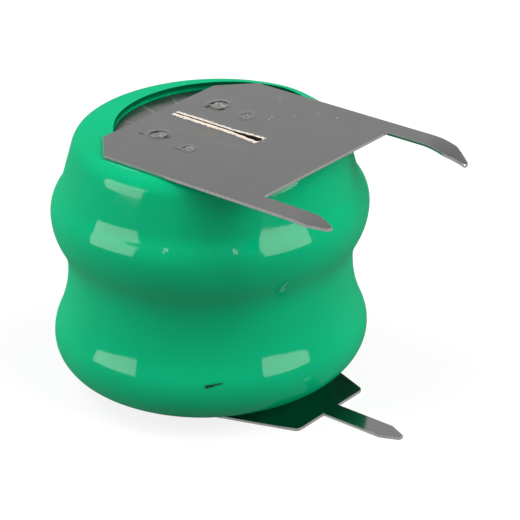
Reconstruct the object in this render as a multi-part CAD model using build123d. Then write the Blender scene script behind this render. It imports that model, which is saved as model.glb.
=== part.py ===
from build123d import *
import os
from math import atan2, cos, degrees, hypot, radians, sin, tan

# Backup battery pack: two sealed nickel button cells in series, one on the other, under a shrunk
# film sleeve, with a welded solder tag at each end.  Millimetres.  The axis of the cells is Z, the
# solder pins point along +X, and the origin is on the axis at the underside of the bottom tag.

# ---- cell ---------------------------------------------------------------------------------------
cell_diameter = 15.3         # widest band of the steel cup
cell_height = 6.45           # from its flat base to the lid's pad
bulge_radius = 1.5           # upper side of the widest band
flank_angle = 36.0           # steepest lean of the wall above that band
flank_radius = 2.15          # hollow curve from there to the shoulder
shoulder_angle = 16.0        # lean of the straight shoulder below the crimp
side_radius = 1.65           # lower side of the widest band
base_radius = 5.9            # shallow curve from there in to the flat base
base_arc = 37.0              # degrees that the shallow curve turns through

cup_wall = 0.3
crimp_radius = 0.7           # outside of the rolled-over rim
crimp_width = 0.75           # from the shoulder in to the crimped edge

lid_wall = 0.25
lid_recess = 0.05            # lid deck below the crimp
lid_corner = 0.35
pad_radius = 3.2             # raised contact pad in the middle of the lid
pad_slope = 0.3

gasket_wall = 0.22           # between the cup and the lid's flange
gasket_ring = 0.12           # between the crimped edge and the lid
gasket_lip = 0.3             # over the flange
gasket_floor = 0.25          # under the flange

mesh_wall = 0.1
separator_wall = 0.15
positive_depth = 2.0         # thickness of the positive pellet
spring_wall = 0.12
spring_foot = 0.9            # width of the spring's flat foot
spring_clearance = 0.74      # from its foot out to the gasket
spring_inset = 0.8           # from its top out to the edge of the lid's pad
spring_bore = 1.2
spring_slot = 0.8
spring_slots = 3

fit = 0.02                   # between round surfaces that slide together on assembly
stack_gap = 0.08             # between the electrode stack and the gasket

# ---- film sleeve --------------------------------------------------------------------------------
film_wall = 0.2
film_gap = 0.02              # between the film and the cups
neck_slack = 0.3             # film standing off the lower cell's shoulder where it spans the joint
neck_drop = 0.45             # waist of the film below the upper cell's base
lower_span_radius = 1.9      # where the film leaves the lower cell's band towards the waist
upper_span_radius = 3.0      # where it leaves the upper cell's band
film_lip = 0.32              # width of film inside the crimped edge
opening_shift_x = 0.35       # the film is cut a little off centre
opening_shift_y = 0.85

# ---- tags ---------------------------------------------------------------------------------------
tag_wall = 0.15
tag_gap = 0.03               # between a tag and the film that it passes over
tag_tail = 3.05              # from the axis back to the blunt end
tag_chamfer = 1.6
tag_reach = 7.55             # from the axis out to the shoulder that seats on the board
pin_width = 1.1
pin_length = 4.35
pin_pitch = 10.16            # between the two pins of the negative tag
tip_round = 0.45
bend_run = 2.3               # length of pin that is bent down, at the tip
near_pin_drop = 0.15
far_pin_drop = 0.7

positive_width = 8.6         # under the cell
positive_shoulder = 5.0      # at the board
positive_taper = 19.0        # degrees, each side
corner_round = 0.35

slot_length = 6.0            # splits the plate so that the welding current crosses the cell
slot_width = 0.22
slot_centre_x = 0.45
slot_centre_y = 0.27
slot_angle = -2.5
weld_span = 4.7              # between the two electrodes of one strike
weld_ball = 1.8              # radius of the electrode's tip
weld_depth = 0.05
weld_strikes = ((-1.25, 0.1, 2.0), (1.05, -0.25, 5.5))    # centre x, centre y, twist in degrees

link_wall = 0.15
link_length = 6.0
link_width = 4.0
ring_wall = 0.3
ring_clearance = 1.2         # from the ends of the link out to the ring
ring_inset = 0.25            # from the ring out to the shoulder of the cup

# ---- worked out from the sizes above ------------------------------------------------------------
cup_radius = cell_diameter / 2
flank = radians(flank_angle)
lean = radians(shoulder_angle)
base_flat = cup_radius - side_radius - (base_radius - side_radius) * sin(radians(base_arc))
band_level = base_radius - (base_radius - side_radius) * cos(radians(base_arc))
lid_rise = film_gap + film_wall + tag_gap
rim_level = cell_height - lid_rise

# The shoulder's line starts where the hollow curve ends and runs up to the crimp's corner.
hollow_radius = cup_radius - bulge_radius * (1 - cos(flank)) - flank_radius * (cos(lean) - cos(flank))
hollow_level = band_level + bulge_radius * sin(flank) + flank_radius * (sin(flank) - sin(lean))
shoulder_level = rim_level - crimp_radius * (1 - sin(lean))
shoulder_radius = hollow_radius - (shoulder_level - hollow_level) * tan(lean)
corner_radius = shoulder_radius - crimp_radius * cos(lean)
corner_level = rim_level - crimp_radius

crimp_under = rim_level - cup_wall
crimp_edge = shoulder_radius - crimp_width
lid_radius = crimp_edge - gasket_ring - 2 * fit
flange_radius = shoulder_radius - cup_wall - gasket_wall - 2 * fit
flange_level = crimp_under - gasket_lip
gasket_level = flange_level - lid_wall - gasket_floor
deck_level = rim_level - lid_recess
spring_foot_radius = lid_radius - lid_wall - spring_clearance
spring_top_radius = pad_radius - spring_inset
opening_radius = crimp_edge - film_lip
ring_bore = link_length / 2 + ring_clearance
ring_radius = shoulder_radius - ring_inset

lower_base = tag_wall
upper_base = lower_base + cell_height + link_wall
top_level = upper_base + cell_height
neck_level = upper_base - neck_drop
tip_x = tag_reach + pin_length


def s_curve(start, end, start_radius):
    """Two arcs in line with each other and with the upright walls at start and end."""
    rise = end[1] - start[1]
    step = end[0] - start[0]
    both_radii = (step**2 + rise**2) / (2 * abs(step))
    share = start_radius / both_radii
    middle = (start[0] + step * share, start[1] + rise * share)
    way = 1 if rise > 0 else -1
    return [
        TangentArc(start, middle, tangent=(0, way)),
        TangentArc(end, middle, tangent=(0, -way)),
    ]


def base_curve(base, offset, first_angle=0.0):
    """Cup wall from its flat base out to the widest band, moved outward by offset."""
    shallow = CenterArc((base_flat, base + base_radius), base_radius + offset,
                        first_angle - 90, base_arc - first_angle)
    side = CenterArc((cup_radius - side_radius, base + band_level), side_radius + offset,
                     base_arc - 90, 90 - base_arc)
    return [shallow, side]


def shoulder_curve(base, offset):
    """Cup wall from the widest band up to the start of the crimp, moved outward by offset."""
    bulge = (cup_radius - bulge_radius, base + band_level)
    both_radii = bulge_radius + flank_radius
    hollow = (bulge[0] + both_radii * cos(flank), bulge[1] + both_radii * sin(flank))
    radius = flank_radius - offset
    return [
        CenterArc(bulge, bulge_radius + offset, 0, flank_angle),
        CenterArc(hollow, radius, 180 + shoulder_angle, flank_angle - shoulder_angle),
        Line((hollow[0] - radius * cos(lean), hollow[1] - radius * sin(lean)),
             shoulder_end(base, offset)),
    ]


def shoulder_end(base, offset):
    """Point where the shoulder's line runs into the rolled corner of the crimp."""
    radius = crimp_radius + offset
    return (corner_radius + radius * cos(lean), base + corner_level + radius * sin(lean))


def crimp_curve(base, offset, edge):
    """Rolled corner of the crimp and the flat from there in to radius edge."""
    centre = (corner_radius, base + corner_level)
    top = base + rim_level + offset
    return [
        CenterArc(centre, crimp_radius + offset, shoulder_angle, 90 - shoulder_angle),
        Line((centre[0], top), (edge, top)),
    ]


def turned(edges):
    """Solid of revolution about Z from a closed outline in radius and height."""
    return revolve(Plane.XZ * make_face(edges), Axis.Z)


def closed(points):
    return Polyline(*points, close=True).edges()


def layer(depth, low, high):
    """Solid that fills the cup to within depth of its outside, between two levels."""
    roof = shoulder_end(0, -depth)
    outline = [Line((0, depth), (base_flat, depth))]
    outline += base_curve(0, -depth) + shoulder_curve(0, -depth)
    outline += [
        Line(roof, (0, roof[1])),
        Line((0, roof[1]), (0, depth)),
    ]
    slab = Pos(0, 0, (low + high) / 2) * Cylinder(cell_diameter, high - low)
    return turned(outline) & slab


# ---- cell pieces, each with the cell's base at Z = 0 --------------------------------------------
def cup():
    outline = [Line((0, 0), (base_flat, 0))]
    outline += base_curve(0, 0) + shoulder_curve(0, 0) + crimp_curve(0, 0, crimp_edge)
    outline += [Line((crimp_edge, rim_level), (crimp_edge, crimp_under))]
    outline += base_curve(0, -cup_wall) + shoulder_curve(0, -cup_wall)
    outline += crimp_curve(0, -cup_wall, crimp_edge)
    outline += [
        Line((base_flat, cup_wall), (0, cup_wall)),
        Line((0, cup_wall), (0, 0)),
    ]
    return turned(outline)


def lid():
    foot = flange_level - lid_wall
    inner = lid_radius - lid_wall
    turn = (lid_radius - lid_corner, deck_level - lid_corner)
    slope_end = pad_radius + pad_slope
    outline = [
        Line((0, cell_height), (pad_radius, cell_height)),
        Line((pad_radius, cell_height), (slope_end, deck_level)),
        Line((slope_end, deck_level), (turn[0], deck_level)),
        CenterArc(turn, lid_corner, 0, 90),
        Line((lid_radius, turn[1]), (lid_radius, flange_level)),
        Line((lid_radius, flange_level), (flange_radius, flange_level)),
        Line((flange_radius, flange_level), (flange_radius, foot)),
        Line((flange_radius, foot), (inner, foot)),
        Line((inner, foot), (inner, turn[1])),
        CenterArc(turn, lid_corner - lid_wall, 0, 90),
        Line((turn[0], deck_level - lid_wall), (slope_end, deck_level - lid_wall)),
        Line((slope_end, deck_level - lid_wall), (pad_radius, cell_height - lid_wall)),
        Line((pad_radius, cell_height - lid_wall), (0, cell_height - lid_wall)),
        Line((0, cell_height - lid_wall), (0, cell_height)),
    ]
    return turned(outline)


def gasket():
    outer = shoulder_end(0, -cup_wall - fit)
    outer_foot = outer[0] + (outer[1] - gasket_level) * tan(lean)
    ring_outer = crimp_edge - fit
    ring_inner = lid_radius + fit
    pocket = flange_radius + fit
    foot = lid_radius - lid_wall
    return turned(closed([
        (foot, gasket_level),
        (outer_foot, gasket_level),
        outer,
        (corner_radius, crimp_under),
        (ring_outer, crimp_under),
        (ring_outer, rim_level),
        (ring_inner, rim_level),
        (ring_inner, flange_level),
        (pocket, flange_level),
        (pocket, flange_level - lid_wall),
        (foot, flange_level - lid_wall),
    ]))


def electrode_stack():
    """Meshes, pellets and separator, each layer lying inside the one before it."""
    mesh_depth = cup_wall + fit
    pellet_depth = mesh_depth + mesh_wall + fit
    separator_depth = cup_wall + fit
    negative_depth = separator_depth + separator_wall + fit
    positive_top = pellet_depth + positive_depth
    separator_floor = positive_top + separator_wall
    negative_top = gasket_level - stack_gap - mesh_wall
    basket = layer(mesh_depth, 0, positive_top) - layer(mesh_depth + mesh_wall, 0, positive_top)
    wrap = layer(separator_depth, positive_top, negative_top)
    wrap -= layer(separator_depth + separator_wall, separator_floor, negative_top)
    return {
        "positive_mesh": basket,
        "positive_electrode": layer(pellet_depth, 0, positive_top),
        "separator": wrap,
        "negative_electrode": layer(negative_depth, separator_floor, negative_top),
        "negative_mesh": layer(negative_depth, negative_top, negative_top + mesh_wall),
    }


def contact_spring():
    """Slotted conical washer that presses the electrodes down from the lid's pad."""
    low = gasket_level - stack_gap
    high = cell_height - lid_wall
    foot_in = spring_foot_radius - spring_foot
    washer = turned(closed([
        (spring_foot_radius, low),
        (spring_foot_radius, low + spring_wall),
        (foot_in, low + spring_wall),
        (spring_top_radius, high),
        (spring_bore, high),
        (spring_bore, high - spring_wall),
        (spring_top_radius, high - spring_wall),
        (foot_in, low),
    ]))
    slot_run = spring_foot_radius - spring_top_radius
    slot = Pos(spring_top_radius + slot_run, 0, (low + high) / 2) * Box(2 * slot_run, spring_slot, high)
    for index in range(spring_slots):
        washer -= Rot(0, 0, index * 360 / spring_slots) * slot
    return washer


def cell():
    pieces = {"cup": cup(), "gasket": gasket(), "lid": lid(), "contact_spring": contact_spring()}
    return pieces | electrode_stack()


# ---- pieces that hold the cells together --------------------------------------------------------
def film_side(offset, first_angle, reach):
    """Film surface from its lower edge, over both cells, in to radius reach at the top."""
    lower_band = (cup_radius + offset, lower_base + band_level)
    waist = (shoulder_radius + neck_slack + offset, neck_level)
    upper_band = (cup_radius + offset, upper_base + band_level)
    edges = base_curve(lower_base, offset, first_angle)
    edges += s_curve(lower_band, waist, lower_span_radius + offset)
    edges += s_curve(upper_band, waist, upper_span_radius + offset)
    edges += shoulder_curve(upper_base, offset) + crimp_curve(upper_base, offset, reach)
    return edges


def film_edge(offset, angle):
    """Point of the lower film edge, on the shallow curve of the lower cell's base."""
    radius = base_radius + offset
    return (base_flat + radius * sin(angle), lower_base + base_radius - radius * cos(angle))


def sleeve():
    inside = film_gap
    outside = film_gap + film_wall
    # The lower lip ends where its underside would come within tag_gap of the positive tag.
    tag_top_drop = base_radius - tag_gap
    angle = atan2(((base_radius + outside)**2 - tag_top_drop**2)**0.5, tag_top_drop)
    shift = hypot(opening_shift_x, opening_shift_y)
    reach = opening_radius - shift - film_wall
    top = upper_base + rim_level
    outline = film_side(outside, degrees(angle), reach) + film_side(inside, degrees(angle), reach)
    outline += [
        Line((reach, top + outside), (reach, top + inside)),
        Line(film_edge(inside, angle), film_edge(outside, angle)),
    ]
    opening = Pos(opening_shift_x, opening_shift_y, top) * Cylinder(opening_radius, 4 * outside)
    return turned(outline) - opening


def weld_marks(level):
    """Ball-ended dents of the welding electrodes on a face at the given level, facing up or down."""
    marks = []
    reach = weld_ball - weld_depth
    height = level + reach if level > 0 else level - reach
    for x, y, twist in weld_strikes:
        for side in (-1, 1):
            marks.append(Pos(x, y, height) * Rot(0, 0, twist) * Pos(0, side * weld_span / 2, 0)
                         * Sphere(weld_ball))
    return marks


def weld_slot(level):
    slot = extrude(SlotOverall(slot_length, slot_width), 2 * tag_wall, both=True)
    return Pos(slot_centre_x, slot_centre_y, level) * Rot(0, 0, slot_angle) * slot


def plate_plan(width):
    """Blunt end of a tag, from its tail to the point where its sides leave the full width."""
    half = width / 2
    return [(-tag_tail + tag_chamfer, -half), (-tag_tail, -half + tag_chamfer),
            (-tag_tail, half - tag_chamfer), (-tag_tail + tag_chamfer, half)]


def rounded_tips(blank, radius):
    """Round the corners at the tips of the pins, which are the edges farthest along +X."""
    return fillet(blank.edges().filter_by(Axis.Z).group_by(Axis.X)[-1], radius)


def bent_strip(drop, side):
    """Half of a tag's strip, flat as far as the tip of its pin, which curves down by drop."""
    bend_x = tip_x - bend_run
    radius = (bend_run**2 + drop**2) / (2 * drop)
    turn = 2 * atan2(drop, bend_run)
    centre = (bend_x, tag_wall - radius)
    tip = [(centre[0] + r * sin(turn), centre[1] + r * cos(turn)) for r in (radius, radius - tag_wall)]
    outline = [
        Line((-tag_tail, 0), (-tag_tail, tag_wall)),
        Line((-tag_tail, tag_wall), (bend_x, tag_wall)),
        CenterArc(centre, radius, 90, -degrees(turn)),
        Line(tip[0], tip[1]),
        CenterArc(centre, radius - tag_wall, 90, -degrees(turn)),
        Line((bend_x, 0), (-tag_tail, 0)),
    ]
    return extrude(Plane.XZ * make_face(outline), -side * (pin_pitch / 2 + pin_width))


def negative_tag():
    """Top tag: a plate the width of its two pins, welded to the upper cell's lid."""
    half = (pin_pitch + pin_width) / 2
    root = half - pin_width
    plan = plate_plan(2 * half)
    plan += [(tip_x, half), (tip_x, root), (tag_reach, root)]
    plan += [(tag_reach, -root), (tip_x, -root), (tip_x, -half)]
    depth = near_pin_drop + far_pin_drop + 2 * tag_wall
    blank = extrude(make_face(closed(plan)), depth, both=True)
    blank = rounded_tips(blank, tip_round)
    strip = bent_strip(near_pin_drop, -1) + bent_strip(far_pin_drop, 1)
    tag = blank & strip
    tag -= weld_slot(tag_wall / 2)
    for mark in weld_marks(tag_wall):
        tag -= mark
    return Pos(0, 0, top_level) * tag


def positive_tag():
    """Bottom tag: a plate that tapers to its single pin, welded to the lower cell's base."""
    half = positive_width / 2
    shoulder = positive_shoulder / 2
    pin = pin_width / 2
    taper_x = tag_reach - (half - shoulder) / tan(radians(positive_taper))
    plan = plate_plan(positive_width)
    plan += [(taper_x, half), (tag_reach, shoulder), (tag_reach, pin), (tip_x, pin)]
    plan += [(tip_x, -pin), (tag_reach, -pin), (tag_reach, -shoulder), (taper_x, -half)]
    tag = extrude(make_face(closed(plan)), tag_wall)
    tag = rounded_tips(tag, tip_round)
    corners = tag.edges().filter_by(Axis.Z)
    shoulders = [corners.sort_by_distance((tag_reach, y, 0))[0] for y in (-shoulder, shoulder)]
    tag = fillet(shoulders, corner_round)
    tag -= weld_slot(tag_wall / 2)
    for mark in weld_marks(0):
        tag -= mark
    return tag


def cell_link():
    """Nickel strip welded between the lower cell's lid and the upper cell's base."""
    link = extrude(RectangleRounded(link_length, link_width, corner_round), link_wall)
    return Pos(0, 0, upper_base - link_wall) * link


def insulating_ring():
    """Washer on the lower cell's crimp, which keeps the two steel cups apart."""
    ring = Cylinder(ring_radius, ring_wall) - Cylinder(ring_bore, ring_wall)
    return Pos(0, 0, lower_base + rim_level + ring_wall / 2) * ring


pack = {
    "sleeve": sleeve(),
    "negative_tag": negative_tag(),
    "positive_tag": positive_tag(),
    "cell_link": cell_link(),
    "insulating_ring": insulating_ring(),
}
for name, solid in cell().items():
    pack["lower_" + name] = Pos(0, 0, lower_base) * solid
    pack["upper_" + name] = Pos(0, 0, upper_base) * solid

os.makedirs("parts", exist_ok=True)
for name, solid in pack.items():
    export_step(solid, f"parts/{name}.step")
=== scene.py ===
import bpy
import bmesh
from math import acos, asin, atan2, ceil, cos, hypot, pi, radians, sin, sqrt, tan
from mathutils import Matrix, Vector, noise
from mathutils.geometry import delaunay_2d_cdt
from mathutils.kdtree import KDTree


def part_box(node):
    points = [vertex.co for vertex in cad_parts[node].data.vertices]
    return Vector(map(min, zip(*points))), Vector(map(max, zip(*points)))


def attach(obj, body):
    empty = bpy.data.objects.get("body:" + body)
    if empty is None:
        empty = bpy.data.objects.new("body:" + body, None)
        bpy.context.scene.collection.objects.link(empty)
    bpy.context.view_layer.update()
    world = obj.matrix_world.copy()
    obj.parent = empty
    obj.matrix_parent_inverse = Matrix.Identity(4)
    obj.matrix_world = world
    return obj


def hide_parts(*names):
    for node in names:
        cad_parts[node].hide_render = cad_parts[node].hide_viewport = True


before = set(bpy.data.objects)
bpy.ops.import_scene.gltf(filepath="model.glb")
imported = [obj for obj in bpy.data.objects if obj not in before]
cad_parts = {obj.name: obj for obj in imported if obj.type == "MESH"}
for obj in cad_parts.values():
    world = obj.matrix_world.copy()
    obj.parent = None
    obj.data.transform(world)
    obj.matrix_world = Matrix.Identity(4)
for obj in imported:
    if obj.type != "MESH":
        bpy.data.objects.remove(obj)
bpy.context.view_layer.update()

# Backup battery pack: two button cells under a shrunk green film, with a welded nickel tag at each
# end.  Metres, but for the lists of marks.  The axis of the cells is Z, the solder pins point
# along +X.
MM = 0.001

# ---- places taken from the frame ----------------------------------------------------------------
film_low, film_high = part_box("sleeve")
top_low, top_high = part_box("negative_tag")
bottom_low, bottom_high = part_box("positive_tag")
lower_cup_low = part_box("lower_cup")[0]
upper_cup_low, upper_cup_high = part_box("upper_cup")
upper_lid_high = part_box("upper_lid")[1]
cup_radius = upper_cup_high.x
tag_wall = bottom_high.z
top_level = upper_lid_high.z
lid_step = top_level - 0.3 * MM  # outer flat of the lid, below its raised pad
tip_x = top_high.x

# ---- film ---------------------------------------------------------------------------------------
film_wall = 0.2 * MM
film_gap = 0.02 * MM             # between the film and the cups
bulge_radius = 1.5 * MM          # upper side of a cell's widest band
flank = radians(36)              # steepest lean of the wall above that band
flank_radius = 2.15 * MM         # hollow curve from there to the shoulder
lean = radians(16)               # of the straight shoulder below the rolled rim
side_radius = 1.65 * MM          # lower side of the widest band
base_radius = 5.9 * MM           # shallow curve from there in to the flat base
base_arc = radians(37)           # angle that the shallow curve turns through
crimp_radius = 0.7 * MM          # outside of the rolled rim
neck_slack = 0.3 * MM            # film standing off the lower shoulder where it spans the joint
neck_drop = 0.45 * MM            # waist of the film below the upper cell's base
lower_span_radius = 1.9 * MM     # where the film leaves the lower band towards the waist
upper_span_radius = 3.0 * MM     # where it leaves the upper band
opening_shift = Vector((0.16, 0.65)) * MM
opening_radius = 5.24 * MM
least_lip = 0.02 * MM            # flat left between the opening and the rolled corner
deck_reach = 5.5 * MM            # out to here the cut edge stands over the lid
gasket_reach = 5.7 * MM          # from here on it stands over the gasket
film_turns = 384                 # points in each ring
film_angles = [2 * pi * index / film_turns for index in range(film_turns)]
film_waviness = 0.012 * MM
wave_length = 2.4 * MM
film_lean = 0.031                # sideways shift per unit of height
lean_level = 7.4 * MM
lean_way = Vector((0.756, 0.655))
crest_lift = 0.13 * MM           # rim of the film where the top tag leaves it free
crest_low, crest_high = 11.6 * MM, 12.8 * MM
crest_rise = radians(72), radians(94)
crest_fall = radians(200), radians(225)

# ---- tags ---------------------------------------------------------------------------------------
tag_gap = 0.03 * MM              # between a tag and the film that it passes over
tag_chamfer = 1.6 * MM
tag_reach = 7.55 * MM            # from the axis out to the shoulder that seats on the board
pin_width = 1.1 * MM
tip_length = 0.95 * MM           # tapered part of a pin
tip_width = 0.28 * MM
tip_root_round = 0.5 * MM
tip_end_round = 0.1 * MM
bend_run = 2.3 * MM              # length of pin that is bent down, at the tip
near_pin_drop = 0.15 * MM
far_pin_drop = 0.7 * MM
positive_shoulder = 5.0 * MM
positive_taper = radians(19)
corner_round = 0.35 * MM
soft_corner = 0.06 * MM
burr_cut = 0.02 * MM             # narrow bevel along the sheared edges
slot_length = 5.6 * MM
slot_width = 0.22 * MM
slot_centre = Vector((0.57, 0.20)) * MM
slot_angle = radians(-0.7)
torn_gap = 0.035 * MM            # half width of the upper slot, nearly closed by its torn lips
torn_mouth = 0.2 * MM            # and at its open +X end
mouth_start = 0.66               # share of its length at which it starts to open
lip_reach = 0.22 * MM
lip_height = 0.035 * MM
dent_reach = 1.6                 # reach of a weld's relief, in radii of the weld
crater_floor = 0.72              # out to here a weld's floor is flat, also in radii
crater_slope = 0.55              # where the line of its slope leaves the floor's level
rim_share = 0.35                 # width of its rim to either side, and of the slope
weld_clearance = 0.8 * MM        # even mesh stays this far from a weld's middle
mesh_pitch = 0.28 * MM
even_margin = 0.12 * MM          # how far even mesh, marks and lips stay from the edges
mark_margin = 0.04 * MM
lip_margin = 0.03 * MM
edge_step = 0.3 * MM             # longest step along an edge

# ---- materials of the sleeve and of a tag, in the order of their slots --------------------------
OUTSIDE, INSIDE = 0, 1
FACE, SHEARED, TORN = 0, 1, 2

# ---- the cell's wall, worked out from its arcs --------------------------------------------------
base_flat = cup_radius - side_radius - (base_radius - side_radius) * sin(base_arc)
band_level = base_radius - (base_radius - side_radius) * cos(base_arc)
rim_level = upper_cup_high.z - upper_cup_low.z
hollow_radius = cup_radius - bulge_radius * (1 - cos(flank))
hollow_radius -= flank_radius * (cos(lean) - cos(flank))
hollow_level = band_level + bulge_radius * sin(flank) + flank_radius * (sin(flank) - sin(lean))
shoulder_level = rim_level - crimp_radius * (1 - sin(lean))
shoulder_radius = hollow_radius - (shoulder_level - hollow_level) * tan(lean)
corner_radius = shoulder_radius - crimp_radius * cos(lean)
corner_level = rim_level - crimp_radius

# ---- studio and camera --------------------------------------------------------------------------
SEEN_BY = ("Is Camera Ray", "Is Glossy Ray", "Is Transmission Ray")
floor_level = -0.02 * MM
floor_reach = 1.2
floor_glow = 0.82                # of the floor as the rays in SEEN_BY see it; 1 is white
world_light = 0.05               # what the world sheds on the pack
focal_length = 166.5             # in millimetres, as is the sensor's width
sensor_width = 36
camera_azimuth = radians(41.27)  # counted from -Y towards +X
camera_elevation = radians(26.43)
camera_roll = radians(-1.84)
camera_aim = Vector((1.95, 1.45, 6.05)) * MM
camera_distance = 119.7 * MM

# ---- wear and weld marks, in millimetres --------------------------------------------------------
# welds: x, y, radius, depth of the dent, height of its rim, and how strongly it was burnt
WELDS = [
    (-1.14, 2.26, 0.50, 0.050, 0.030, 1.0),
    (0.88, 2.05, 0.40, 0.030, 0.020, 0.12),
    (-1.07, -2.21, 0.46, 0.050, 0.030, 0.9),
    (1.23, -2.63, 0.36, 0.040, 0.025, 0.4),
]
UNDER_WELDS = [(-1.2, 2.4, 0.45, 0.04, 0.01, 0.7), (0.9, 2.1, 0.4, 0.04, 0.01, 0.3),
               (-1.2, -2.3, 0.45, 0.04, 0.01, 0.6), (1.2, -2.5, 0.4, 0.04, 0.01, 0.4)]
# drops of burnt metal thrown out of the upper welds: x, y, radius
SPLASHES = [(-1.50, 1.76, 0.11), (-1.36, 1.70, 0.08), (-0.62, 1.95, 0.09), (-0.72, 1.80, 0.07),
            (-0.56, -2.27, 0.12), (-0.42, -2.22, 0.07), (-1.82, -2.65, 0.08), (-1.70, -2.60, 0.05),
            (0.72, -2.95, 0.04), (0.9, -3.0, 0.04)]
# scratches: x and y of both ends, and half width
TAG_SCRATCHES = [(-3.04, -0.37, -2.63, -0.49, 0.025), (-2.5, -0.92, -1.13, -1.04, 0.02),
                 (-3.05, 1.24, -2.86, 1.16, 0.02), (-1.0, -1.05, 0.1, -1.0, 0.012),
                 (1.4, -1.5, 2.14, -1.24, 0.012), (2.45, -1.02, 3.06, -1.0, 0.012)]
LID_SCRATCHES = [(-5.05, 0.76, -3.75, 0.4, 0.03), (-4.41, 2.37, -3.75, 2.0, 0.028),
                 (-4.31, -1.24, -3.77, -1.15, 0.025), (-5.13, 0.66, -4.83, 1.35, 0.022),
                 (-4.85, -0.86, -4.70, -0.45, 0.022)]
# pale specks: x, y, radius
PALE_SPECKS = [(0.79, 4.66, 0.05), (1.99, 2.41, 0.055), (1.94, 2.68, 0.05), (3.51, 4.31, 0.04),
               (4.57, 4.48, 0.045), (-2.2, 0.1, 0.03), (2.7, 3.5, 0.03)]
# brown stain on the upper tag: x, y, radius
STAINS = [(0.8, -0.65, 0.55)]
# scuffs of the film: both ends, half width, how ragged and how broken
BLACK_SCUFF = ((4.84, -6.18, 3.16), (5.57, -5.48, 3.38), 0.12, 0.12, 0.1)
FAINT_SCUFFS = [((4.15, -6.72, 3.02), (4.75, -6.26, 3.1), 0.05, 0.08, 0.45),
                ((3.55, -7.05, 3.0), (4.2, -6.7, 2.95), 0.04, 0.08, 0.45)]
RUBBED_LINE = ((6.9, -3.0, 7.5), (7.14, -2.5, 8.1), 0.09, 0.05, 0.2)
# rubbed ring of the film: its middle and radius
RUBBED_RING = ((7.05, -2.72, 7.5), 0.19)
# pale specks painted as small highlights of the film: middle, radius and how ragged
PAINTED_GLINTS = [((3.33, -6.82, 10.26), 0.14, 0.5), ((5.96, -4.81, 10.16), 0.16, 0.5),
         ((1.06, -6.80, 11.49), 0.06, 0.05), ((7.6, -2.05, 2.9), 0.1, 0.2)]


# ---- mesh helpers -------------------------------------------------------------------------------
def make_piece(name, mesh, materials, stands_for):
    """Puts a finished mesh into the scene as a piece that replaces its CAD node."""
    piece = bpy.data.objects.new(name, mesh)
    bpy.context.scene.collection.objects.link(piece)
    for material in materials:
        mesh.materials.append(material)
    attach(piece, "root")
    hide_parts(stands_for)
    return piece


def shade(mesh, angle=radians(40)):
    """Smooth shading with the edges sharper than angle kept crisp."""
    work = bmesh.new()
    work.from_mesh(mesh)
    bmesh.ops.recalc_face_normals(work, faces=work.faces)
    for face in work.faces:
        face.smooth = True
    for edge in work.edges:
        edge.smooth = not (edge.is_manifold and edge.calc_face_angle(0) > angle)
    work.to_mesh(mesh)
    work.free()


def bridge(work, first, second, finish):
    """Band of quads in one material between two closed rings with the same number of points."""
    count = len(first)
    for index in range(count):
        after = (index + 1) % count
        face = work.faces.new((first[index], first[after], second[after], second[index]))
        face.material_index = finish


def arc(centre, radius, start, end, steps):
    """Points on a circle from one angle to another."""
    angles = [start + (end - start) * step / steps for step in range(steps + 1)]
    return [(centre[0] + radius * cos(angle), centre[1] + radius * sin(angle)) for angle in angles]


# ---- film sleeve --------------------------------------------------------------------------------
def s_curve(start, end, start_radius, steps):
    """Two arcs in line with each other and with the upright walls at start and end."""
    rise = end[1] - start[1]
    step = end[0] - start[0]
    both_radii = (step**2 + rise**2) / (2 * abs(step))
    end_radius = both_radii - start_radius
    turn = asin(min(1, abs(rise) / both_radii))
    up = 1 if rise > 0 else -1
    inward = 1 if step > 0 else -1
    points = []
    for index in range(steps + 1):
        angle = turn * index / steps
        points.append((start[0] + inward * start_radius * (1 - cos(angle)),
                       start[1] + up * start_radius * sin(angle)))
    for index in range(steps - 1, -1, -1):
        angle = turn * index / steps
        points.append((end[0] - inward * end_radius * (1 - cos(angle)),
                       end[1] - up * end_radius * sin(angle)))
    return points


def film_profile(offset, lip_angle):
    """Film surface as radius and height, from its lower lip up to the rolled corner of the rim."""
    low, high = lower_cup_low.z, upper_cup_low.z
    points = arc((base_flat, low + base_radius), base_radius + offset,
                 lip_angle - pi / 2, base_arc - pi / 2, 12)
    points += arc((cup_radius - side_radius, low + band_level), side_radius + offset,
                  base_arc - pi / 2, 0, 16)[1:]
    waist = (shoulder_radius + neck_slack + offset, high - neck_drop)
    lower_band = (cup_radius + offset, low + band_level)
    upper_band = (cup_radius + offset, high + band_level)
    points += s_curve(lower_band, waist, lower_span_radius + offset, 16)[1:]
    points += s_curve(upper_band, waist, upper_span_radius + offset, 16)[-2::-1]
    bulge = (cup_radius - bulge_radius, high + band_level)
    both_radii = bulge_radius + flank_radius
    hollow = (bulge[0] + both_radii * cos(flank), bulge[1] + both_radii * sin(flank))
    points += arc(bulge, bulge_radius + offset, 0, flank, 16)[1:]
    points += arc(hollow, flank_radius - offset, pi + flank, pi + lean, 12)[1:]
    start = Vector(points[-1])
    corner = arc((corner_radius, high + corner_level), crimp_radius + offset, lean, pi / 2, 16)
    points += [tuple(start.lerp(Vector(corner[0]), step / 8)) for step in range(1, 8)]
    points += corner
    return points


def opening_reach(angle):
    """Distance from the axis to the edge of the off-centre opening."""
    along = opening_shift.x * cos(angle) + opening_shift.y * sin(angle)
    across = opening_shift.y * cos(angle) - opening_shift.x * sin(angle)
    return min(along + sqrt(opening_radius**2 - across**2), corner_radius - least_lip)


def smooth(value, low, high):
    """Smooth step from 0 to 1 as value goes from low to high."""
    share = min(1.0, max(0.0, (value - low) / (high - low)))
    return share * share * (3 - 2 * share)


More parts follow.
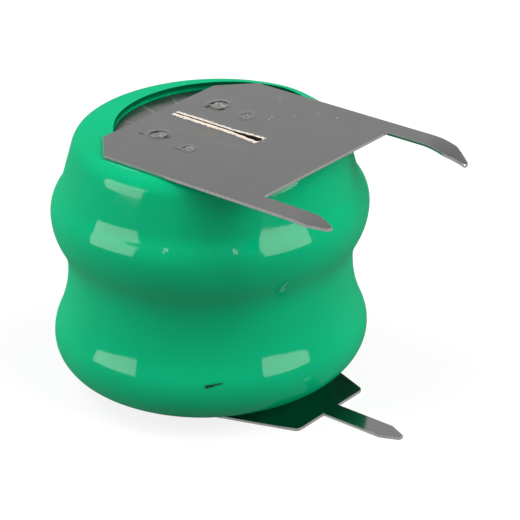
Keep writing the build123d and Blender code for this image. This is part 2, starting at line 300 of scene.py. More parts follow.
def settled(spot):
    """Point of the film as it sits: leaning a little, its rim standing up where it is free."""
    shift = lean_way * film_lean * (spot.z - lean_level)
    angle = atan2(spot.y, spot.x) % (2 * pi)
    free = smooth(angle, *crest_rise) * (1 - smooth(angle, *crest_fall))
    lift = crest_lift * free * smooth(spot.z, crest_low, crest_high)
    return Vector((spot.x + shift.x, spot.y + shift.y, spot.z + lift))


def lip_ring(work):
    """Lower edge of the cut, drawn down to the lid where the opening lies over it."""
    ring = []
    for angle in film_angles:
        reach = opening_reach(angle)
        over_gasket = smooth(reach, deck_reach, gasket_reach)
        level = lid_step + film_gap + (upper_cup_high.z - lid_step) * over_gasket
        spot = settled(Vector((cos(angle) * reach, sin(angle) * reach, level)))
        ring.append(work.verts.new((spot.x, spot.y, level)))
    return ring


def film_ring(work, radii, level, wavy=True):
    """One ring of the sleeve; a wavy one is pulled in slightly and unevenly by the shrinking."""
    ring = []
    for angle, radius in zip(film_angles, radii):
        spot = Vector((cos(angle) * radius, sin(angle) * radius, level))
        pull = film_waviness * (noise.noise(spot / wave_length) - 1) if wavy else 0
        spot = Vector((cos(angle) * (radius + pull), sin(angle) * (radius + pull), level))
        ring.append(work.verts.new(settled(spot)))
    return ring


def film_sleeve():
    """The sleeve as one closed band of rings: up its outside, across the cut and down its inside."""
    inside, outside = film_gap, film_gap + film_wall
    drop = base_radius - tag_gap
    lip_angle = acos(drop / (base_radius + outside))
    work = bmesh.new()
    rings = []

    def flat_rings(level, shares):
        """Rings across the top, at shares of the way from the rolled corner to the cut edge."""
        for share in shares:
            radii = [corner_radius + (opening_reach(angle) - corner_radius) * share
                     for angle in film_angles]
            rings.append(film_ring(work, radii, level, wavy=False))

    for radius, level in film_profile(outside, lip_angle):
        rings.append(film_ring(work, [radius] * film_turns, level))
    top = upper_cup_high.z
    flat_rings(top + outside, [0.25, 0.5, 0.75, 1.0])
    cut = len(rings) - 1
    rings.append(lip_ring(work))
    flat_rings(top + inside, [0.75, 0.5, 0.25])
    for radius, level in reversed(film_profile(inside, lip_angle)):
        rings.append(film_ring(work, [radius] * film_turns, level))
    for index, (first, second) in enumerate(zip(rings, rings[1:] + rings[:1])):
        bridge(work, first, second, INSIDE if index >= cut else OUTSIDE)
    mesh = bpy.data.meshes.new("film_sleeve")
    work.to_mesh(mesh)
    work.free()
    shade(mesh, radians(50))
    return mesh


# ---- sheet-metal tags ---------------------------------------------------------------------------
def rounded(corners, steps=6):
    """Closed outline from (x, y, radius) corners, with an arc at each corner that has a radius."""
    outline = []
    count = len(corners)
    for index, (x, y, radius) in enumerate(corners):
        here = Vector((x, y))
        before = (Vector(corners[index - 1][:2]) - here).normalized()
        after = (Vector(corners[(index + 1) % count][:2]) - here).normalized()
        half = before.angle(after) / 2
        if radius <= 0:
            outline.append(here)
            continue
        centre = here + (before + after).normalized() * radius / sin(half)
        start = here + before * radius / tan(half) - centre
        sweep = start.angle_signed(here + after * radius / tan(half) - centre)
        for step in range(steps + 1):
            outline.append(centre + Matrix.Rotation(-sweep * step / steps, 2) @ start)
    return outline


def divided(outline, longest):
    """The outline with its long sides cut into steps no longer than longest."""
    points = []
    for index, here in enumerate(outline):
        after = outline[(index + 1) % len(outline)]
        steps = max(1, ceil((after - here).length / longest))
        points += [here.lerp(after, step / steps) for step in range(steps)]
    return points


def inset(outline, depth):
    """The outline moved to its left side, which is inward if it runs counter-clockwise."""
    moved = []
    count = len(outline)
    for index, here in enumerate(outline):
        first = (here - outline[index - 1]).normalized()
        second = (outline[(index + 1) % count] - here).normalized()
        normal = Vector((-first.y - second.y, first.x + second.x)).normalized()
        spread = max(0.4, normal.dot(Vector((-first.y, first.x))))  # keeps sharp corners near
        moved.append(here + normal * depth / spread)
    return moved


def slot_outline(width_at, steps=60):
    """Narrow slot, clockwise, whose half width varies along it."""
    turn = Matrix.Rotation(slot_angle, 2)
    far, near = [], []
    for index in range(steps + 1):
        along = (index / steps - 0.5) * slot_length
        half = width_at(along)
        far.append(slot_centre + turn @ Vector((along, half)))
        near.append(slot_centre + turn @ Vector((along, -half)))
    return far + near[::-1]


def torn_width(along):
    """Half width of the upper slot, which its torn lips nearly close except at its +X end."""
    share = along / slot_length + 0.5
    ragged = 1 + 0.25 * noise.noise(Vector((along / MM * 3.0, 0, 5)))
    blunt_ends = min(1.0, (1 - share) * 40 + 0.3, share * 25 + 0.25)
    opened = max(0.0, (share - mouth_start) / (1 - mouth_start))
    return (torn_gap + (torn_mouth - torn_gap) * opened) * ragged * blunt_ends


def slot_place(spot):
    """Distance along and across the slot of a point of the plate."""
    local = Matrix.Rotation(-slot_angle, 2) @ (Vector(spot[:2]) - slot_centre)
    return local.x, local.y


def grid_points(low, high, pitch):
    """Staggered points that fill the box of an outline."""
    points = []
    rows = ceil((high.y - low.y) / pitch)
    columns = ceil((high.x - low.x) / pitch)
    for row in range(1, rows):
        for column in range(1, columns):
            shift = 0.25 * pitch * (1 if row % 2 else -1)
            points.append(Vector((low.x + column * pitch + shift, low.y + row * pitch)))
    return points


def dent_points(welds, rings=14):
    """Rings of points that carry the relief of each weld mark."""
    points = []
    for x, y, radius, *_ in welds:
        for ring in range(1, rings + 1):
            reach = radius * MM * dent_reach * ring / rings
            count = max(8, round(2 * pi * ring))
            points += [Vector((x * MM + reach * cos(2 * pi * k / count),
                               y * MM + reach * sin(2 * pi * k / count))) for k in range(count)]
    return points


def lip_points(steps=79):
    """Rows of points beside the slot that carry the relief of its torn lips."""
    turn = Matrix.Rotation(slot_angle, 2)
    rows = [row * MM for row in (-0.2, -0.15, 0.15, 0.2)]
    return [slot_centre + turn @ Vector(((step / steps - 0.5) * slot_length, row))
            for row in rows for step in range(steps + 1)]


def clear_of(points, loops, distance):
    """The points that lie at least distance from every loop."""
    every = [spot for loop in loops for spot in loop]
    tree = KDTree(len(every))
    for index, spot in enumerate(every):
        tree.insert((spot.x, spot.y, 0), index)
    tree.balance()
    return [spot for spot in points if tree.find((spot.x, spot.y, 0))[2] > distance]


def fill(outline, holes, extra):
    """Triangles that fill the outline, leave the holes open and pass through the extra points."""
    points, edges = [], []
    for loop in [outline] + holes:
        start = len(points)
        points += loop
        edges += [(start + k, start + (k + 1) % len(loop)) for k in range(len(loop))]
    loop_points = len(points)
    points = points + extra
    coords, _, faces, origin, _, _ = delaunay_2d_cdt(points, edges, [], 1, 1e-9)
    return coords, faces, origin, loop_points


def is_inside(spot, loop):
    """True if a point lies within a closed outline."""
    hit = False
    for index, here in enumerate(loop):
        before = loop[index - 1]
        if (here.y > spot.y) != (before.y > spot.y):
            if spot.x < (before.x - here.x) * (spot.y - here.y) / (before.y - here.y) + here.x:
                hit = not hit
    return hit


def sheet_face(work, outline, holes, extra, place):
    """Fills one face of a tag and returns its vertices along the outline and the holes."""
    coords, faces, origin, loop_points = fill(outline, holes, extra)
    verts = [work.verts.new(place(spot)) for spot in coords]
    for face in faces:
        middle = sum((coords[k] for k in face), Vector((0, 0))) / len(face)
        if is_inside(middle, outline) and not any(is_inside(middle, hole) for hole in holes):
            work.faces.new([verts[k] for k in face]).material_index = FACE
    place_of = {}
    for index, sources in enumerate(origin):
        for source in sources:
            if source < loop_points:
                place_of[source] = verts[index]
    rings, start = [], 0
    for loop in [outline] + holes:
        rings.append([place_of[start + k] for k in range(len(loop))])
        start += len(loop)
    return rings


def dent(spot, welds):
    """Height of the surface at a weld: a rough-floored crater inside a raised rim."""
    height = 0.0
    for x, y, radius, depth, rim, _ in welds:
        here_x, here_y = spot.x / MM, spot.y / MM
        swirl = noise.noise(Vector((here_x * 3.1 + x, here_y * 3.1, 0.7)))
        share = hypot(here_x - x, here_y - y) / (radius * (1 + 0.22 * swirl))
        if share > dent_reach:
            continue
        grain = noise.noise(Vector((here_x * 9, here_y * 9, y)))
        floor = -depth * (1 + 0.5 * grain)
        if share > crater_floor:
            floor *= max(0.0, 1 - (share - crater_slope) / rim_share)
        wall = rim * (1 + 0.8 * grain) * max(0.0, 1 - abs(share - 1.0) / rim_share)
        height += floor + wall
    return height * MM


def burr(spot):
    """Height of the torn lip along both sides of the slot."""
    along, across = slot_place(spot)
    if abs(along) > slot_length / 2 + 0.1 * MM:
        return 0.0
    away = (abs(across) - torn_width(along)) / lip_reach
    if away > 1:
        return 0.0
    grain = noise.noise(Vector((along / MM * 5, across / MM * 4, 2.5)))
    return lip_height * (1 - max(away, 0)) * (0.7 + 0.6 * grain)


def tag_mesh(name, outline, holes, welds, face_up, bend):
    """Punched strip with bevelled edges, bent at its pins.

    The weld marks are in its upper face if it faces up, and otherwise in its lower one."""
    work = bmesh.new()
    loops = [outline] + holes
    deep = [inset(loop, burr_cut) for loop in loops]
    low = Vector((min(p.x for p in outline), min(p.y for p in outline)))
    high = Vector((max(p.x for p in outline), max(p.y for p in outline)))
    centres = [Vector((x * MM, y * MM)) for x, y, *_ in welds]
    even = clear_of(grid_points(low, high, mesh_pitch), deep, even_margin)
    even = [p for p in even if all((p - centre).length > weld_clearance for centre in centres)]
    marks = clear_of(even + dent_points(welds), deep, mark_margin)
    spots = clear_of(marks + lip_points(), deep, lip_margin)

    def faced(spot, height):
        """Point of the strip, with height counted from its lower face."""
        return bend(Vector((spot.x, spot.y, height)))

    def upper(spot):
        return faced(spot, tag_wall + (dent(spot, welds) + burr(spot) if face_up else 0))

    def lower(spot):
        return faced(spot, 0 if face_up else -dent(spot, welds))

    top_rings = sheet_face(work, deep[0], deep[1:], spots, upper)
    base_rings = sheet_face(work, deep[0], deep[1:], spots, lower)
    for index, loop in enumerate(loops):
        is_slot = index > 0
        lifts = [burr(spot) if is_slot and face_up else 0 for spot in loop]
        upper_ring = [work.verts.new(faced(spot, tag_wall - burr_cut + lift))
                      for spot, lift in zip(loop, lifts)]
        lower_ring = [work.verts.new(faced(spot, burr_cut)) for spot in loop]
        ladder = [top_rings[index], upper_ring, lower_ring, base_rings[index]]
        for first, second in zip(ladder, ladder[1:]):
            bridge(work, first, second, TORN if is_slot else SHEARED)
    mesh = bpy.data.meshes.new(name)
    work.to_mesh(mesh)
    work.free()
    shade(mesh)
    return mesh


def pin_tip(near, far):
    """Corners of a pin's tapered end, from its near side to its far side."""
    middle, half = (near + far) / 2, tip_width / 2
    root = tip_x - tip_length
    return [(root, near, tip_root_round), (tip_x, middle - half, tip_end_round),
            (tip_x, middle + half, tip_end_round), (root, far, tip_root_round)]


def pin_bend(spot):
    """Upper tag: both pins curve down, the far one more than the near one."""
    x, y, height = spot
    bend_x = tip_x - bend_run
    if x <= bend_x:
        return Vector((x, y, top_level + height))
    drop = near_pin_drop if y < 0 else far_pin_drop
    radius = (bend_run**2 + drop**2) / (2 * drop)
    level = tag_wall - radius + sqrt((radius - tag_wall + height)**2 - (x - bend_x)**2)
    return Vector((x, y, top_level + level))


def top_tag():
    """Negative tag: a plate with a chamfered tail and a pin at each side, its weld marks above."""
    half = top_high.y
    root = half - pin_width
    tail = top_low.x
    soft = soft_corner
    corners = [
        (tail, half - tag_chamfer, soft), (tail, -half + tag_chamfer, soft),
        (tail + tag_chamfer, -half, soft), *pin_tip(-half, -root),
        (tag_reach, -root, soft), (tag_reach, root, soft),
        *pin_tip(root, half), (tail + tag_chamfer, half, soft),
    ]
    outline = divided(rounded(corners), edge_step)
    return tag_mesh("top_tag", outline, [slot_outline(torn_width)], WELDS, True, pin_bend)


def bottom_tag():
    """Positive tag: a plate that narrows to one pin in the middle, its weld marks below."""
    half = bottom_high.y
    shoulder = positive_shoulder / 2
    pin = pin_width / 2
    tail = bottom_low.x
    taper_x = tag_reach - (half - shoulder) / tan(positive_taper)
    soft = soft_corner
    corners = [
        (tail, half - tag_chamfer, soft), (tail, -half + tag_chamfer, soft),
        (tail + tag_chamfer, -half, soft), (taper_x, -half, soft),
        (tag_reach, -shoulder, corner_round), (tag_reach, -pin, soft),
        *pin_tip(-pin, pin),
        (tag_reach, pin, soft), (tag_reach, shoulder, corner_round),
        (taper_x, half, soft), (tail + tag_chamfer, half, soft),
    ]
    outline = divided(rounded(corners), edge_step)
    slot = slot_outline(lambda along: slot_width / 2)
    return tag_mesh("bottom_tag", outline, [slot], UNDER_WELDS, False, lambda spot: spot)


# ---- materials ----------------------------------------------------------------------------------
class Nodes:
    """Short way to write one material's nodes."""

    def __init__(self, name):
        self.material = bpy.data.materials.new(name)
        self.material.use_nodes = True
        self.tree = self.material.node_tree
        self.shader = self.tree.nodes["Principled BSDF"]
        place = self.tree.nodes.new("ShaderNodeTexCoord")
        self.place = place.outputs["Object"]

    def node(self, kind, inputs=None, **settings):
        """New node with its settings; an input is a value, or a socket to link."""
        made = self.tree.nodes.new(kind)
        for key, value in settings.items():
            setattr(made, key, value)
        for key, value in (inputs or {}).items():
            self.give(value, made.inputs[key])
        return made

    def give(self, value, socket):
        if isinstance(value, bpy.types.NodeSocket):
            self.tree.links.new(value, socket)
        else:
            socket.default_value = value

    def math(self, operation, *values, clamp=False):
        made = self.node("ShaderNodeMath", dict(enumerate(values)), operation=operation)
        made.use_clamp = clamp
        return made.outputs[0]

    def noise(self, scale, detail=2.0, place=None, rough=0.5):
        """Cloudy value about 0.5; scale counts its swirls in a metre."""
        made = self.node("ShaderNodeTexNoise", {"Vector": place or self.place, "Scale": scale,
                                                "Detail": detail, "Roughness": rough})
        return made.outputs["Fac"]

    def stretched(self, x, y, z):
        """Places for a noise whose scale differs along each axis."""
        made = self.node("ShaderNodeMapping", {"Vector": self.place, "Scale": (x, y, z)})
        return made.outputs["Vector"]

    def ramp(self, value, low, high, start=0.0, end=1.0):
        """Smooth step from start to end as value goes from low to high."""
        made = self.node("ShaderNodeMapRange", {"Value": value, "From Min": low, "From Max": high,
                                                "To Min": start, "To Max": end})
        made.interpolation_type = "SMOOTHSTEP"
        return made.outputs["Result"]

    def mix(self, share, first, second):
        """Colour between first and second."""
        made = self.node("ShaderNodeMix", data_type="RGBA")
        self.give(share, made.inputs[0])
        self.give(first, made.inputs[6])
        self.give(second, made.inputs[7])
        return made.outputs[2]

    def bump(self, height, distance, strength=1.0):
        made = self.node("ShaderNodeBump", {"Height": height, "Distance": distance,
                                            "Strength": strength})
        return made.outputs["Normal"]

    def vector(self, operation, first, second=None):
        """Vector math; gives the vector, or the value where the result is a number."""
        inputs = {0: first} if second is None else {0: first, 1: second}
        made = self.node("ShaderNodeVectorMath", inputs, operation=operation)
        is_value = operation in ("DISTANCE", "DOT_PRODUCT", "LENGTH")
        return made.outputs["Value" if is_value else "Vector"]

    def away(self, x, y, z):
        """Distance from a point, in metres."""
        return self.vector("DISTANCE", self.place, (x, y, z))

    def swirl(self, scale, detail, reach):
        """Uneven shift of up to half of reach to either side."""
        return self.math("MULTIPLY", self.math("SUBTRACT", self.noise(scale, detail), 0.5), reach)

    def blot(self, spot, radius, ragged):
        """Mask of an uneven round mark, from its middle and radius in millimetres."""
        swirl = self.swirl(8000, 3, ragged * MM)
        away = self.math("ADD", self.away(*(value * MM for value in spot)), swirl)
        return self.ramp(away, radius * 0.7 * MM, radius * MM, 1, 0)

    def streak(self, start, end, half, ragged=0.0, broken=0.4):
        """Mask of a scratch between two points, from its ends and half width in millimetres."""
        start, end = Vector(start) * MM, Vector(end) * MM
        offset = self.vector("SUBTRACT", self.place, tuple((start + end) / 2))
        along = self.vector("DOT_PRODUCT", offset, tuple((end - start).normalized()))
        reach = self.vector("LENGTH", offset)
        square = self.math("SUBTRACT", self.math("MULTIPLY", reach, reach),
                           self.math("MULTIPLY", along, along))
        across = self.math("SQRT", self.math("MAXIMUM", square, 0.0))
        swirl = self.swirl(6000, 4, ragged * MM)
        length = (end - start).length
        ends = self.ramp(self.math("ABSOLUTE", along), length * 0.42, length * 0.5, 1, 0)
        sides = self.ramp(self.math("ADD", across, swirl), half * 0.4 * MM, half * MM, 1, 0)
        gaps = self.ramp(self.noise(3500, 3), broken, broken + 0.1)
        return self.math("MULTIPLY", self.math("MULTIPLY", ends, sides), gaps)

    def any_of(self, masks):
        """The strongest of several masks."""
        strongest = masks[0]
        for mask in masks[1:]:
            strongest = self.math("MAXIMUM", strongest, mask)
        return strongest

    def scratches(self, marks, level, broken=0.4):
        """Mask of scratches in a flat face at a height, from their ends and half widths."""
        return self.any_of([self.streak((x, y, level / MM), (x2, y2, level / MM), half, 0.0, broken)
                            for x, y, x2, y2, half in marks])

    def spots(self, marks, level, growth, ragged):
        """Mask of round marks in a flat face at a height, with their radii times growth."""
        return self.any_of([self.blot((x, y, level / MM), radius * growth, ragged)
                            for x, y, radius in marks])

    def over(self, mask, strength, color, below):
        """The colour below, covered by another one where a mask is white."""
        return self.mix(self.math("MULTIPLY", mask, strength), below, color)

    def sheen_over(self, facing, grazing, rough, normal):
        """Thin clear gloss whose strength stays limited at grazing angles."""
        layer = self.node("ShaderNodeLayerWeight", {"Blend": 0.5, "Normal": normal})
        share = self.math("POWER", layer.outputs["Facing"], 1.5)
        share = self.ramp(share, 0.0, 1.0, facing, grazing)
        gloss = self.node("ShaderNodeBsdfAnisotropic", {"Color": (1, 1, 1, 1), "Roughness": rough,
                                                       "Normal": normal})
        both = self.node("ShaderNodeMixShader", {0: share, 1: self.shader.outputs["BSDF"],
                                                 2: gloss.outputs["BSDF"]})
        end = self.tree.nodes["Material Output"]
        self.tree.links.new(both.outputs[0], end.inputs["Surface"])

    def set(self, **inputs):
        """Gives the shader its inputs and returns the material."""
        names = {"color": "Base Color", "metallic": "Metallic", "roughness": "Roughness",
                 "specular": "Specular IOR Level", "normal": "Normal"}
        for key, value in inputs.items():
            self.give(value, self.shader.inputs[names[key]])
        return self.material


def tint(color, share=1.0):
    """A colour made darker or lighter, with its alpha."""
    return (*(part * share for part in color), 1)


def film_material():
    """Glossy green shrink film with its scuffs and rubbed marks, and pale specks painted as small
    highlights.
    """
    m = Nodes("green_film")
    color = m.mix(m.ramp(m.noise(260, 3), 0.35, 0.65), (0.0, 0.415, 0.176, 1), (0.0, 0.437, 0.19, 1))
    faint = m.any_of([m.streak(*scuff) for scuff in FAINT_SCUFFS])
    color = m.over(faint, 0.7, (0.04, 0.10, 0.06, 1), color)
    color = m.mix(m.streak(*BLACK_SCUFF), color, (0.006, 0.02, 0.012, 1))
    middle, radius = RUBBED_RING
    from_ring = m.math("SUBTRACT", m.away(*(value * MM for value in middle)), radius * MM)
    ring = m.ramp(m.math("ABSOLUTE", from_ring), 0.03 * MM, 0.07 * MM, 1, 0)
    rubbed = m.any_of([ring, m.streak(*RUBBED_LINE)])
    color = m.over(rubbed, 0.4, (0.25, 0.62, 0.42, 1), color)
    # painted highlights: pale specks where the film shows small glints
    glints = m.any_of([m.blot(*glint) for glint in PAINTED_GLINTS])
    color = m.over(glints, 0.3, (0.5, 0.75, 0.62, 1), color)
    ripple = m.bump(m.noise(900, 4), 0.004 * MM, 0.7)
    m.set(color=color, roughness=0.6, specular=0.0, normal=ripple)
    m.sheen_over(0.005, 0.03, m.ramp(m.noise(2600, 3), 0.3, 0.7, 0.03, 0.07), ripple)
    return m.material


def film_inner_painted_shade_material():
    """Cut edge and inner skin of the film, with painted shade and light: dark at the top, where the
    tag shades it, and paler lower down, where the lid lights it.
    """
    m = Nodes("film_inner")
    height = m.node("ShaderNodeSeparateXYZ", {"Vector": m.place}).outputs["Z"]
    cloudy = m.math("ADD", height, m.swirl(1200, 4, 0.15 * MM))
    # painted shade and light: pale at the lid's flat, dark at the top of the film
    color = m.mix(m.ramp(cloudy, lid_step, film_high.z), (0.0, 0.4, 0.175, 1), (0.0, 0.09, 0.035, 1))
    return m.set(color=color, roughness=0.6, specular=0.0)


def welded(m, welds, level, color, rough):
    """Colour and roughness with a burnt ring and mottled bare metal at each weld."""
    grains = m.ramp(m.noise(9000, 3), 0.4, 0.6)
    bare = m.mix(grains, (0.17, 0.16, 0.15, 1), (0.42, 0.40, 0.38, 1))
    for x, y, radius, _, _, burnt in welds:
        size = radius * MM
        ragged = m.math("ADD", m.away(x * MM, y * MM, level), m.swirl(2600, 4, 0.8 * size))
        ring = m.math("MULTIPLY", m.ramp(ragged, 0.8 * size, 0.88 * size),
                      m.ramp(ragged, 0.92 * size, 1.02 * size, 1, 0))
        patchy = m.math("MULTIPLY", m.ramp(m.noise(2400, 2), 0.34, 0.46), burnt, clamp=True)
        core = m.ramp(ragged, 0.7 * size, 0.85 * size, 1, 0)
        color = m.over(core, 0.35 + 0.5 * burnt, bare, color)
        color = m.over(ring, patchy, (0.014, 0.012, 0.011, 1), color)
        rough = m.math("MAXIMUM", rough, m.math("MULTIPLY", core, 0.5))
    return color, rough


def rolled_nickel(name, tone, dull):
    """Nodes of a nickel strip with the colour, roughness and relief that rolling gives it."""
    m = Nodes(name)
    nickel = (tone, tone * 1.03, tone)
    grain = m.noise(1.0, 4, m.stretched(700, 14000, 700))
    mottle = m.noise(420, 5)
    color = m.mix(m.ramp(mottle, 0.3, 0.7), tint(nickel, 0.95), tint(nickel, 1.04))
    color = m.mix(m.ramp(grain, 0.3, 0.8, 0, 0.25), color, tint(nickel, 1.16))
    rough = m.ramp(mottle, 0.25, 0.75, dull * 0.85, dull * 1.15)
    return m, color, rough, m.bump(grain, 0.0008 * MM, 0.4)


def torn_band(m):
    """Mask of the bright torn metal along both sides of the upper slot."""
    offset = m.vector("SUBTRACT", m.place, (slot_centre.x, slot_centre.y, 0))
    local = m.node("ShaderNodeVectorRotate", {"Vector": offset, "Angle": -slot_angle},
                   rotation_type="Z_AXIS")
    parts = m.node("ShaderNodeSeparateXYZ", {"Vector": local.outputs["Vector"]})
    along, across = parts.outputs["X"], m.math("ABSOLUTE", parts.outputs["Y"])
    edge = m.ramp(along, 0.16 * slot_length, 0.5 * slot_length, torn_gap, 0.17 * MM)
    beyond = m.math("ADD", m.math("SUBTRACT", across, edge), m.swirl(9000, 3, 0.34 * MM))
    ends = m.ramp(m.math("ABSOLUTE", along), 0.497 * slot_length, 0.505 * slot_length, 1, 0)
    return m.math("MULTIPLY", m.ramp(beyond, 0.2 * MM, 0.24 * MM, 1, 0), ends)


def top_nickel():
    """Nickel of the upper tag, with its torn slot, scratches, specks, stain and weld marks."""
    level = top_high.z
    m, color, rough, relief = rolled_nickel("top_tag_nickel", 0.139, 0.2)
    band = torn_band(m)
    color = m.mix(band, color, (0.78, 0.69, 0.6, 1))
    rough = m.math("MAXIMUM", rough, m.math("MULTIPLY", band, 0.5))
    color = m.over(m.spots(STAINS, level, 1.0, 0.5), 0.18, (0.3, 0.2, 0.14, 1), color)
    color = m.over(m.scratches(TAG_SCRATCHES, level), 0.55, (0.5, 0.45, 0.4, 1), color)
    color = m.over(m.spots(PALE_SPECKS, level, 1.0, 0.04), 0.8, (0.62, 0.6, 0.56, 1), color)
    color, rough = welded(m, WELDS, level, color, rough)
    color = m.over(m.spots(SPLASHES, level, 1.4, 0.2), 0.9, (0.012, 0.01, 0.01, 1), color)
    return m.set(color=color, metallic=1.0, roughness=rough, normal=relief)


def bottom_nickel():
    """Nickel of the lower tag, marked only by its welds."""
    m, color, rough, relief = rolled_nickel("bottom_tag_nickel", 0.19, 0.1)
    color, rough = welded(m, UNDER_WELDS, 0.0, color, rough)
    return m.set(color=color, metallic=1.0, roughness=rough, normal=relief)


def sheared_material(name, dark, light, rough):
    """Sheared side of a strip, with fine upright tear lines."""
    m = Nodes(name)
    tears = m.ramp(m.noise(1.0, 3, m.stretched(9000, 9000, 900)), 0.35, 0.65)
    color = m.mix(tears, (dark, dark, dark * 0.98, 1), (light, light, light * 0.98, 1))
    return m.set(color=color, metallic=1.0, roughness=rough)


def steel_material(name, color, rough, scratches=()):
    """Pressed and plated steel; scratches lie in the outer flat of the upper lid."""
    m = Nodes(name)
    spun = m.noise(1.0, 3, m.stretched(900, 900, 9000))
    tone = m.mix(m.ramp(m.noise(700, 4), 0.3, 0.7), tint(color, 0.94), tint(color, 1.05))
    if scratches:
        lines = m.scratches(scratches, lid_step, broken=0.2)
        tone = m.over(lines, 0.8, (0.55, 0.5, 0.44, 1), tone)
    rough = m.ramp(spun, 0.3, 0.7, rough * 0.85, rough * 1.15)
    return m.set(color=tone, metallic=1.0, roughness=rough, normal=m.bump(spun, 0.001 * MM, 0.3))


def dull_material(name, color, scale, rough, relief, specular=0.5):
    """Grainy matt material; relief is the height of its grains in millimetres."""
    m = Nodes(name)
    grains = m.noise(scale, 5)
    tone = m.mix(m.ramp(grains, 0.3, 0.7), tint(color, 0.8), tint(color, 1.15))
    return m.set(color=tone, roughness=rough, specular=specular,
                 normal=m.bump(grains, relief * MM, 0.5))


def mesh_material(name):
    """Nickel gauze: pale wires round dark openings."""
    m = Nodes(name)
    weave = m.node("ShaderNodeTexVoronoi", {"Vector": m.place, "Scale": 4200.0})
    wire = m.ramp(weave.outputs["Distance"], 0.2, 0.5)
    color = m.mix(wire, (0.09, 0.09, 0.085, 1), (0.34, 0.34, 0.32, 1))
    return m.set(color=color, metallic=1.0, roughness=m.ramp(wire, 0, 1, 0.5, 0.3),
                 normal=m.bump(wire, 0.03 * MM, 0.6))


def paint_hidden_nodes():
    """Gives every CAD node that stays its own procedural finish."""
    finishes = {
        "cup": steel_material("cell_steel", (0.30, 0.31, 0.30), 0.26),
        "lid": steel_material("lid_steel", (0.16, 0.166, 0.161), 0.34, LID_SCRATCHES),
        "gasket": dull_material("gasket_nylon", (0.0, 0.42, 0.18), 3000, 0.45, 0.004, specular=0.0),
        "contact_spring": steel_material("spring_steel", (0.34, 0.34, 0.34), 0.22),
        "separator": dull_material("separator_felt", (0.72, 0.72, 0.68), 5000, 0.9, 0.03),
        "positive_electrode": dull_material("positive_pellet", (0.05, 0.055, 0.05), 4000, 0.85, 0.02),
        "negative_electrode": dull_material("negative_pellet", (0.11, 0.11, 0.115), 4000, 0.8, 0.02),
        "positive_mesh": mesh_material("positive_mesh"),
        "negative_mesh": mesh_material("negative_mesh"),
        "cell_link": steel_material("link_nickel", (0.24, 0.245, 0.235), 0.24),
        "insulating_ring": dull_material("ring_fibre", (0.42, 0.33, 0.2), 2600, 0.8, 0.01),
    }
    for name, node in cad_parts.items():
        for kind, finish in finishes.items():
            if name in (kind, "lower_" + kind, "upper_" + kind):
                for place in node.material_slots:
                    place.material = finish


# ---- studio -------------------------------------------------------------------------------------
def studio_floor():
    """Grey floor that looks white to the camera and still takes the object's shadow."""
    work = bmesh.new()
    corners = [work.verts.new((x * floor_reach, y * floor_reach, floor_level))
               for x, y in ((-1, -1), (1, -1), (1, 1), (-1, 1))]
    work.faces.new(corners)
    mesh = bpy.data.meshes.new("floor")
    work.to_mesh(mesh)
    work.free()
    floor = bpy.data.objects.new("floor", mesh)
    bpy.context.scene.collection.objects.link(floor)
    m = Nodes("floor_white")
    ray = m.node("ShaderNodeLightPath")
    seen = m.any_of([ray.outputs[kind] for kind in SEEN_BY])
    m.set(color=m.mix(m.noise(60, 3), (0.20, 0.20, 0.20, 1), (0.22, 0.22, 0.22, 1)),
          roughness=0.9, specular=0.0)
    m.give((1, 1, 1, 1), m.shader.inputs["Emission Color"])
    m.give(m.math("MULTIPLY", seen, floor_glow), m.shader.inputs["Emission Strength"])
    mesh.materials.append(m.material)


def studio_world():
    """World that is white where it is seen and dim where it lights the pack."""
    world = bpy.data.worlds.new("studio")
    bpy.context.scene.world = world
    world.use_nodes = True
    tree = world.node_tree
    ray = tree.nodes.new("ShaderNodeLightPath")
    seen = ray.outputs[SEEN_BY[0]]
    for kind in SEEN_BY[1:]:
        both = tree.nodes.new("ShaderNodeMath")
        both.operation = "MAXIMUM"
        tree.links.new(seen, both.inputs[0])
        tree.links.new(ray.outputs[kind], both.inputs[1])
        seen = both.outputs[0]
    level = tree.nodes.new("ShaderNodeMapRange")
    tree.links.new(seen, level.inputs["Value"])
    level.inputs["To Min"].default_value = world_light
    level.inputs["To Max"].default_value = 1.0
    back = tree.nodes["Background"]
    back.inputs["Color"].default_value = (1, 1, 1, 1)
    tree.links.new(level.outputs["Result"], back.inputs["Strength"])


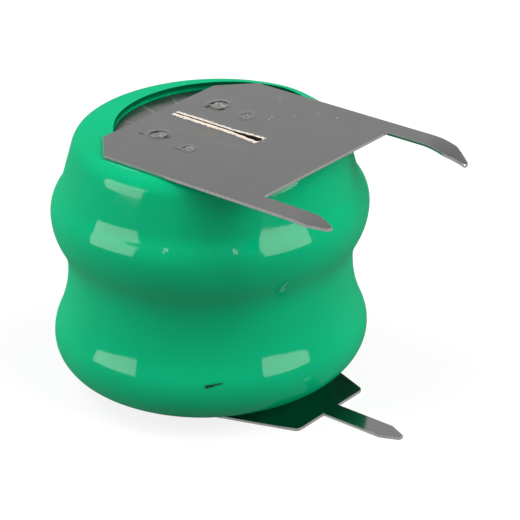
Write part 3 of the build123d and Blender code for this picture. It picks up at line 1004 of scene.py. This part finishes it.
def softbox(name, azimuth, elevation, distance, width, height, power, twist=0, mirrored=False):
    """Area light that faces the pack; azimuth is counted from +X, angles in degrees, power in watts.

    A mirrored one only gives the gloss its highlights, and the others only light the pack."""
    data = bpy.data.lights.new(name, "AREA")
    data.shape = "RECTANGLE"
    data.size, data.size_y = width, height
    data.energy = power
    lamp = bpy.data.objects.new(name, data)
    lamp.visible_glossy = mirrored
    lamp.visible_diffuse = not mirrored
    lamp.visible_camera = False
    turn, tilt = radians(azimuth), radians(elevation)
    away = Vector((cos(turn) * cos(tilt), sin(turn) * cos(tilt), sin(tilt)))
    aim = Vector((0, 0, (film_low.z + film_high.z) / 2))
    facing = away.to_track_quat("Z", "Y").to_matrix().to_4x4()
    facing = facing @ Matrix.Rotation(radians(twist), 4, "Z")
    lamp.matrix_world = Matrix.Translation(aim + away * distance) @ facing
    bpy.context.scene.collection.objects.link(lamp)


def camera():
    """Camera in the place from which the photo was taken, as fitted to its outlines."""
    data = bpy.data.cameras.new("camera")
    data.lens = focal_length
    data.sensor_width = sensor_width
    data.clip_start = MM
    view = bpy.data.objects.new("camera", data)
    back = Vector((sin(camera_azimuth) * cos(camera_elevation),
                   -cos(camera_azimuth) * cos(camera_elevation), sin(camera_elevation)))
    right = Vector((0, 0, 1)).cross(back).normalized()
    up = back.cross(right)
    side = cos(camera_roll) * right + sin(camera_roll) * up
    top = cos(camera_roll) * up - sin(camera_roll) * right
    view.matrix_world = Matrix((side, top, back)).transposed().to_4x4()
    view.matrix_world.translation = camera_aim + back * camera_distance
    bpy.context.scene.collection.objects.link(view)
    bpy.context.scene.camera = view


# ---- the pack -----------------------------------------------------------------------------------
film = [film_material(), film_inner_painted_shade_material()]
make_piece("film_sleeve", film_sleeve(), film, "sleeve")
# the second finish, for the slot's walls, is nearly black: painted shade inside the narrow slit
sides = [sheared_material("sheared_side", 0.25, 0.3, 0.2),
         sheared_material("slot_wall_painted_shade", 0.01, 0.03, 0.6)]
make_piece("top_tag", top_tag(), [top_nickel()] + sides, "negative_tag")
make_piece("bottom_tag", bottom_tag(), [bottom_nickel()] + sides, "positive_tag")
paint_hidden_nodes()

studio_floor()
studio_world()
softbox("left_light", -123, 18, 0.6, 0.4, 0.31, 1.95)
softbox("right_light", 7, 22, 0.6, 0.41, 0.41, 1.85)
softbox("high_left_light", -150, 50, 0.5, 0.4, 0.4, 1.8)
softbox("high_right_light", 25, 50, 0.5, 0.4, 0.4, 1.8)
softbox("left_highlight", -123, 18, 0.5, 0.33, 0.26, 5.8, twist=8, mirrored=True)
softbox("right_highlight", 7, 22, 0.5, 0.34, 0.34, 8.0, twist=-4, mirrored=True)
camera()

scene = bpy.context.scene
scene.view_settings.view_transform = "Standard"
